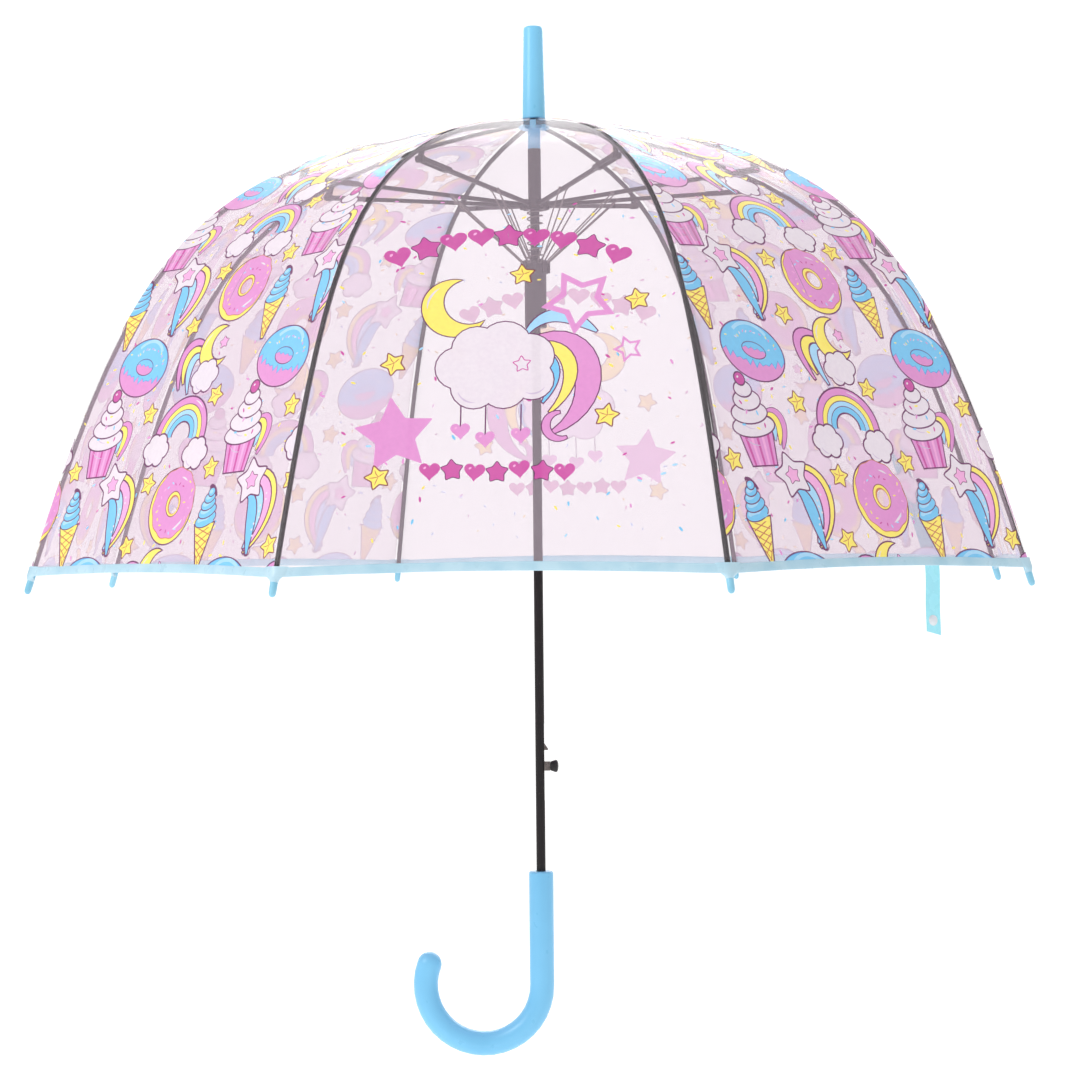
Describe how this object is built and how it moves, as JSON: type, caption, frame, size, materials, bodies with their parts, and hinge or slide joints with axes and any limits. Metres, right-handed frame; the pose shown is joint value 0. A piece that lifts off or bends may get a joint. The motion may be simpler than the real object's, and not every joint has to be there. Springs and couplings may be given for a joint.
{
  "type": "children's dome umbrella",
  "caption": "Clear dome umbrella for a child, with a spring-opened rib frame, hook handle, release button, bound hem and closing strap.",
  "frame": {"origin": "on the shaft's axis where the shaft enters the top of the handle", "axes": "+Z along the shaft from the handle to the ferrule; +X towards the release button, so the hook turns towards -X; +Y completes the right-handed frame"},
  "size_m": [0.6172, 0.6172, 0.669],
  "materials": {
    "blue_plastic": "smooth moulded pale blue, soft gloss",
    "black_metal": "thin black enamel on steel",
    "black_plastic": "moulded black, satin",
    "spring_steel": "drawn wire and strip, slightly bronzed",
    "clear_film": "clear soft film, printed and welded",
    "blue_film": "translucent tinted soft film",
    "clear_snap": "moulded translucent snap"
  },
  "bodies": {
    "shaft": {"shaft_tube": "black_metal", "handle": "blue_plastic", "ferrule": "blue_plastic", "crown": "blue_plastic", "stop_sleeve": "black_plastic"},
    "release": {"release_spring": "spring_steel", "button_cap": "black_plastic"},
    "hub": {"hub": "black_plastic"},
    "runner": {"runner": "black_plastic", "mainspring": "spring_steel"},
    "rib_1": {"rib_1": "black_metal", "rib_tip_1": "blue_plastic"},
    "stretcher_1": {"stretcher_1": "black_metal"},
    "wires_1": {"wire_pair_1": "spring_steel"},
    "film_1a": {"panel_1a": "clear_film"},
    "film_1b": {"panel_1b": "clear_film", "strap": "blue_film", "strap_snap": "clear_snap"},
    "rib_2": {"rib_2": "black_metal", "rib_tip_2": "blue_plastic"},
    "stretcher_2": {"stretcher_2": "black_metal"},
    "wires_2": {"wire_pair_2": "spring_steel"},
    "film_2a": {"panel_2a": "clear_film"},
    "film_2b": {"panel_2b": "clear_film"},
    "rib_3": {"rib_3": "black_metal", "rib_tip_3": "blue_plastic"},
    "stretcher_3": {"stretcher_3": "black_metal"},
    "wires_3": {"wire_pair_3": "spring_steel"},
    "film_3a": {"panel_3a": "clear_film"},
    "film_3b": {"panel_3b": "clear_film"},
    "rib_4": {"rib_4": "black_metal", "rib_tip_4": "blue_plastic"},
    "stretcher_4": {"stretcher_4": "black_metal"},
    "wires_4": {"wire_pair_4": "spring_steel"},
    "film_4a": {"panel_4a": "clear_film"},
    "film_4b": {"panel_4b": "clear_film"},
    "rib_5": {"rib_5": "black_metal", "rib_tip_5": "blue_plastic"},
    "stretcher_5": {"stretcher_5": "black_metal"},
    "wires_5": {"wire_pair_5": "spring_steel"},
    "film_5a": {"panel_5a": "clear_film"},
    "film_5b": {"panel_5b": "clear_film"},
    "rib_6": {"rib_6": "black_metal", "rib_tip_6": "blue_plastic"},
    "stretcher_6": {"stretcher_6": "black_metal"},
    "wires_6": {"wire_pair_6": "spring_steel"},
    "film_6a": {"panel_6a": "clear_film"},
    "film_6b": {"panel_6b": "clear_film"},
    "rib_7": {"rib_7": "black_metal", "rib_tip_7": "blue_plastic"},
    "stretcher_7": {"stretcher_7": "black_metal"},
    "wires_7": {"wire_pair_7": "spring_steel"},
    "film_7a": {"panel_7a": "clear_film"},
    "film_7b": {"panel_7b": "clear_film"},
    "rib_8": {"rib_8": "black_metal", "rib_tip_8": "blue_plastic"},
    "stretcher_8": {"stretcher_8": "black_metal"},
    "wires_8": {"wire_pair_8": "spring_steel"},
    "film_8a": {"panel_8a": "clear_film"},
    "film_8b": {"panel_8b": "clear_film"}
  },
  "joints": [
    {"name": "runner_slide", "type": "slide", "parent": "shaft", "child": "runner", "axis": [0, 0, 1], "range_m": [-0.18741, 0], "stiffness_N_per_m": 60, "springref_m": 0.08},
    {"name": "button_press", "type": "slide", "parent": "shaft", "child": "release", "axis": [-1, 0, 0], "range_m": [0, 0.0022], "stiffness_N_per_m": 900, "springref_m": -0.0015},
    {"name": "hub_slide", "type": "slide", "parent": "shaft", "child": "hub", "axis": [0, 0, 1], "range_m": [-0.20854, 0.0005], "deforming": ["mainspring"]},
    {"name": "rib_1_hinge", "type": "hinge", "parent": "shaft", "child": "rib_1", "pos_m": [0.00739, 0.00306, 0.4856], "axis": [-0.3827, 0.9239, 0], "range_deg": [-0.5, 46.5]},
    {"name": "stretcher_1_hinge", "type": "hinge", "parent": "hub", "child": "stretcher_1", "pos_m": [0.00739, 0.00306, 0.433], "axis": [-0.3827, 0.9239, 0], "range_deg": [-55.17, 0.5]},
    {"name": "wires_1_hinge", "type": "hinge", "parent": "runner", "child": "wires_1", "pos_m": [0.00758, 0.00314, 0.395], "axis": [-0.3827, 0.9239, 0], "range_deg": [-27.17, 0.5]},
    {"name": "film_1a_fold", "type": "hinge", "parent": "rib_1", "child": "film_1a", "pos_m": [0.00739, 0.00306, 0.4856], "axis": [0.7285, -0.6614, 0.1783], "range_deg": [-0.5, 23.5], "deforming": ["panel_1a"]},
    {"name": "film_1b_fold", "type": "hinge", "parent": "rib_1", "child": "film_1b", "pos_m": [0.00739, 0.00306, 0.4856], "axis": [-0.0475, -0.9828, -0.1783], "range_deg": [-0.5, 23.5], "deforming": ["panel_1b", "strap"]},
    {"name": "rib_2_hinge", "type": "hinge", "parent": "shaft", "child": "rib_2", "pos_m": [0.00306, 0.00739, 0.4856], "axis": [-0.9239, 0.3827, 0], "range_deg": [-0.5, 46.5]},
    {"name": "stretcher_2_hinge", "type": "hinge", "parent": "hub", "child": "stretcher_2", "pos_m": [0.00306, 0.00739, 0.433], "axis": [-0.9239, 0.3827, 0], "range_deg": [-55.17, 0.5]},
    {"name": "wires_2_hinge", "type": "hinge", "parent": "runner", "child": "wires_2", "pos_m": [0.00314, 0.00758, 0.395], "axis": [-0.9239, 0.3827, 0], "range_deg": [-27.17, 0.5]},
    {"name": "film_2a_fold", "type": "hinge", "parent": "rib_2", "child": "film_2a", "pos_m": [0.00306, 0.00739, 0.4856], "axis": [0.9828, 0.0475, 0.1783], "range_deg": [-0.5, 23.5], "deforming": ["panel_2a"]},
    {"name": "film_2b_fold", "type": "hinge", "parent": "rib_2", "child": "film_2b", "pos_m": [0.00306, 0.00739, 0.4856], "axis": [0.6614, -0.7285, -0.1783], "range_deg": [-0.5, 23.5], "deforming": ["panel_2b"]},
    {"name": "rib_3_hinge", "type": "hinge", "parent": "shaft", "child": "rib_3", "pos_m": [-0.00306, 0.00739, 0.4856], "axis": [-0.9239, -0.3827, 0], "range_deg": [-0.5, 46.5]},
    {"name": "stretcher_3_hinge", "type": "hinge", "parent": "hub", "child": "stretcher_3", "pos_m": [-0.00306, 0.00739, 0.433], "axis": [-0.9239, -0.3827, 0], "range_deg": [-55.17, 0.5]},
    {"name": "wires_3_hinge", "type": "hinge", "parent": "runner", "child": "wires_3", "pos_m": [-0.00314, 0.00758, 0.395], "axis": [-0.9239, -0.3827, 0], "range_deg": [-27.17, 0.5]},
    {"name": "film_3a_fold", "type": "hinge", "parent": "rib_3", "child": "film_3a", "pos_m": [-0.00306, 0.00739, 0.4856], "axis": [0.6614, 0.7285, 0.1783], "range_deg": [-0.5, 23.5], "deforming": ["panel_3a"]},
    {"name": "film_3b_fold", "type": "hinge", "parent": "rib_3", "child": "film_3b", "pos_m": [-0.00306, 0.00739, 0.4856], "axis": [0.9828, -0.0475, -0.1783], "range_deg": [-0.5, 23.5], "deforming": ["panel_3b"]},
    {"name": "rib_4_hinge", "type": "hinge", "parent": "shaft", "child": "rib_4", "pos_m": [-0.00739, 0.00306, 0.4856], "axis": [-0.3827, -0.9239, 0], "range_deg": [-0.5, 46.5]},
    {"name": "stretcher_4_hinge", "type": "hinge", "parent": "hub", "child": "stretcher_4", "pos_m": [-0.00739, 0.00306, 0.433], "axis": [-0.3827, -0.9239, 0], "range_deg": [-55.17, 0.5]},
    {"name": "wires_4_hinge", "type": "hinge", "parent": "runner", "child": "wires_4", "pos_m": [-0.00758, 0.00314, 0.395], "axis": [-0.3827, -0.9239, 0], "range_deg": [-27.17, 0.5]},
    {"name": "film_4a_fold", "type": "hinge", "parent": "rib_4", "child": "film_4a", "pos_m": [-0.00739, 0.00306, 0.4856], "axis": [-0.0475, 0.9828, 0.1783], "range_deg": [-0.5, 23.5], "deforming": ["panel_4a"]},
    {"name": "film_4b_fold", "type": "hinge", "parent": "rib_4", "child": "film_4b", "pos_m": [-0.00739, 0.00306, 0.4856], "axis": [0.7285, 0.6614, -0.1783], "range_deg": [-0.5, 23.5], "deforming": ["panel_4b"]},
    {"name": "rib_5_hinge", "type": "hinge", "parent": "shaft", "child": "rib_5", "pos_m": [-0.00739, -0.00306, 0.4856], "axis": [0.3827, -0.9239, 0], "range_deg": [-0.5, 46.5]},
    {"name": "stretcher_5_hinge", "type": "hinge", "parent": "hub", "child": "stretcher_5", "pos_m": [-0.00739, -0.00306, 0.433], "axis": [0.3827, -0.9239, 0], "range_deg": [-55.17, 0.5]},
    {"name": "wires_5_hinge", "type": "hinge", "parent": "runner", "child": "wires_5", "pos_m": [-0.00758, -0.00314, 0.395], "axis": [0.3827, -0.9239, 0], "range_deg": [-27.17, 0.5]},
    {"name": "film_5a_fold", "type": "hinge", "parent": "rib_5", "child": "film_5a", "pos_m": [-0.00739, -0.00306, 0.4856], "axis": [-0.7285, 0.6614, 0.1783], "range_deg": [-0.5, 23.5], "deforming": ["panel_5a"]},
    {"name": "film_5b_fold", "type": "hinge", "parent": "rib_5", "child": "film_5b", "pos_m": [-0.00739, -0.00306, 0.4856], "axis": [0.0475, 0.9828, -0.1783], "range_deg": [-0.5, 23.5], "deforming": ["panel_5b"]},
    {"name": "rib_6_hinge", "type": "hinge", "parent": "shaft", "child": "rib_6", "pos_m": [-0.00306, -0.00739, 0.4856], "axis": [0.9239, -0.3827, 0], "range_deg": [-0.5, 46.5]},
    {"name": "stretcher_6_hinge", "type": "hinge", "parent": "hub", "child": "stretcher_6", "pos_m": [-0.00306, -0.00739, 0.433], "axis": [0.9239, -0.3827, 0], "range_deg": [-55.17, 0.5]},
    {"name": "wires_6_hinge", "type": "hinge", "parent": "runner", "child": "wires_6", "pos_m": [-0.00314, -0.00758, 0.395], "axis": [0.9239, -0.3827, 0], "range_deg": [-27.17, 0.5]},
    {"name": "film_6a_fold", "type": "hinge", "parent": "rib_6", "child": "film_6a", "pos_m": [-0.00306, -0.00739, 0.4856], "axis": [-0.9828, -0.0475, 0.1783], "range_deg": [-0.5, 23.5], "deforming": ["panel_6a"]},
    {"name": "film_6b_fold", "type": "hinge", "parent": "rib_6", "child": "film_6b", "pos_m": [-0.00306, -0.00739, 0.4856], "axis": [-0.6614, 0.7285, -0.1783], "range_deg": [-0.5, 23.5], "deforming": ["panel_6b"]},
    {"name": "rib_7_hinge", "type": "hinge", "parent": "shaft", "child": "rib_7", "pos_m": [0.00306, -0.00739, 0.4856], "axis": [0.9239, 0.3827, 0], "range_deg": [-0.5, 46.5]},
    {"name": "stretcher_7_hinge", "type": "hinge", "parent": "hub", "child": "stretcher_7", "pos_m": [0.00306, -0.00739, 0.433], "axis": [0.9239, 0.3827, 0], "range_deg": [-55.17, 0.5]},
    {"name": "wires_7_hinge", "type": "hinge", "parent": "runner", "child": "wires_7", "pos_m": [0.00314, -0.00758, 0.395], "axis": [0.9239, 0.3827, 0], "range_deg": [-27.17, 0.5]},
    {"name": "film_7a_fold", "type": "hinge", "parent": "rib_7", "child": "film_7a", "pos_m": [0.00306, -0.00739, 0.4856], "axis": [-0.6614, -0.7285, 0.1783], "range_deg": [-0.5, 23.5], "deforming": ["panel_7a"]},
    {"name": "film_7b_fold", "type": "hinge", "parent": "rib_7", "child": "film_7b", "pos_m": [0.00306, -0.00739, 0.4856], "axis": [-0.9828, 0.0475, -0.1783], "range_deg": [-0.5, 23.5], "deforming": ["panel_7b"]},
    {"name": "rib_8_hinge", "type": "hinge", "parent": "shaft", "child": "rib_8", "pos_m": [0.00739, -0.00306, 0.4856], "axis": [0.3827, 0.9239, 0], "range_deg": [-0.5, 46.5]},
    {"name": "stretcher_8_hinge", "type": "hinge", "parent": "hub", "child": "stretcher_8", "pos_m": [0.00739, -0.00306, 0.433], "axis": [0.3827, 0.9239, 0], "range_deg": [-55.17, 0.5]},
    {"name": "wires_8_hinge", "type": "hinge", "parent": "runner", "child": "wires_8", "pos_m": [0.00758, -0.00314, 0.395], "axis": [0.3827, 0.9239, 0], "range_deg": [-27.17, 0.5]},
    {"name": "film_8a_fold", "type": "hinge", "parent": "rib_8", "child": "film_8a", "pos_m": [0.00739, -0.00306, 0.4856], "axis": [0.0475, -0.9828, 0.1783], "range_deg": [-0.5, 23.5], "deforming": ["panel_8a"]},
    {"name": "film_8b_fold", "type": "hinge", "parent": "rib_8", "child": "film_8b", "pos_m": [0.00739, -0.00306, 0.4856], "axis": [-0.7285, -0.6614, -0.1783], "range_deg": [-0.5, 23.5], "deforming": ["panel_8b"]}
  ],
  "couplings": [
    {"joint": "hub_slide", "follows": "runner_slide", "ratio": 1.1101},
    {"joint": "rib_1_hinge", "follows": "runner_slide", "rad_per_m": -4.2839},
    {"joint": "stretcher_1_hinge", "follows": "runner_slide", "rad_per_m": 5.0915},
    {"joint": "wires_1_hinge", "follows": "runner_slide", "rad_per_m": 2.4835},
    {"joint": "film_1a_fold", "follows": "runner_slide", "rad_per_m": -2.1418},
    {"joint": "film_1b_fold", "follows": "runner_slide", "rad_per_m": -2.1418},
    {"joint": "rib_2_hinge", "follows": "runner_slide", "rad_per_m": -4.2839},
    {"joint": "stretcher_2_hinge", "follows": "runner_slide", "rad_per_m": 5.0915},
    {"joint": "wires_2_hinge", "follows": "runner_slide", "rad_per_m": 2.4835},
    {"joint": "film_2a_fold", "follows": "runner_slide", "rad_per_m": -2.1418},
    {"joint": "film_2b_fold", "follows": "runner_slide", "rad_per_m": -2.1418},
    {"joint": "rib_3_hinge", "follows": "runner_slide", "rad_per_m": -4.2839},
    {"joint": "stretcher_3_hinge", "follows": "runner_slide", "rad_per_m": 5.0915},
    {"joint": "wires_3_hinge", "follows": "runner_slide", "rad_per_m": 2.4835},
    {"joint": "film_3a_fold", "follows": "runner_slide", "rad_per_m": -2.1418},
    {"joint": "film_3b_fold", "follows": "runner_slide", "rad_per_m": -2.1418},
    {"joint": "rib_4_hinge", "follows": "runner_slide", "rad_per_m": -4.2839},
    {"joint": "stretcher_4_hinge", "follows": "runner_slide", "rad_per_m": 5.0915},
    {"joint": "wires_4_hinge", "follows": "runner_slide", "rad_per_m": 2.4835},
    {"joint": "film_4a_fold", "follows": "runner_slide", "rad_per_m": -2.1418},
    {"joint": "film_4b_fold", "follows": "runner_slide", "rad_per_m": -2.1418},
    {"joint": "rib_5_hinge", "follows": "runner_slide", "rad_per_m": -4.2839},
    {"joint": "stretcher_5_hinge", "follows": "runner_slide", "rad_per_m": 5.0915},
    {"joint": "wires_5_hinge", "follows": "runner_slide", "rad_per_m": 2.4835},
    {"joint": "film_5a_fold", "follows": "runner_slide", "rad_per_m": -2.1418},
    {"joint": "film_5b_fold", "follows": "runner_slide", "rad_per_m": -2.1418},
    {"joint": "rib_6_hinge", "follows": "runner_slide", "rad_per_m": -4.2839},
    {"joint": "stretcher_6_hinge", "follows": "runner_slide", "rad_per_m": 5.0915},
    {"joint": "wires_6_hinge", "follows": "runner_slide", "rad_per_m": 2.4835},
    {"joint": "film_6a_fold", "follows": "runner_slide", "rad_per_m": -2.1418},
    {"joint": "film_6b_fold", "follows": "runner_slide", "rad_per_m": -2.1418},
    {"joint": "rib_7_hinge", "follows": "runner_slide", "rad_per_m": -4.2839},
    {"joint": "stretcher_7_hinge", "follows": "runner_slide", "rad_per_m": 5.0915},
    {"joint": "wires_7_hinge", "follows": "runner_slide", "rad_per_m": 2.4835},
    {"joint": "film_7a_fold", "follows": "runner_slide", "rad_per_m": -2.1418},
    {"joint": "film_7b_fold", "follows": "runner_slide", "rad_per_m": -2.1418},
    {"joint": "rib_8_hinge", "follows": "runner_slide", "rad_per_m": -4.2839},
    {"joint": "stretcher_8_hinge", "follows": "runner_slide", "rad_per_m": 5.0915},
    {"joint": "wires_8_hinge", "follows": "runner_slide", "rad_per_m": 2.4835},
    {"joint": "film_8a_fold", "follows": "runner_slide", "rad_per_m": -2.1418},
    {"joint": "film_8b_fold", "follows": "runner_slide", "rad_per_m": -2.1418}
  ]
}
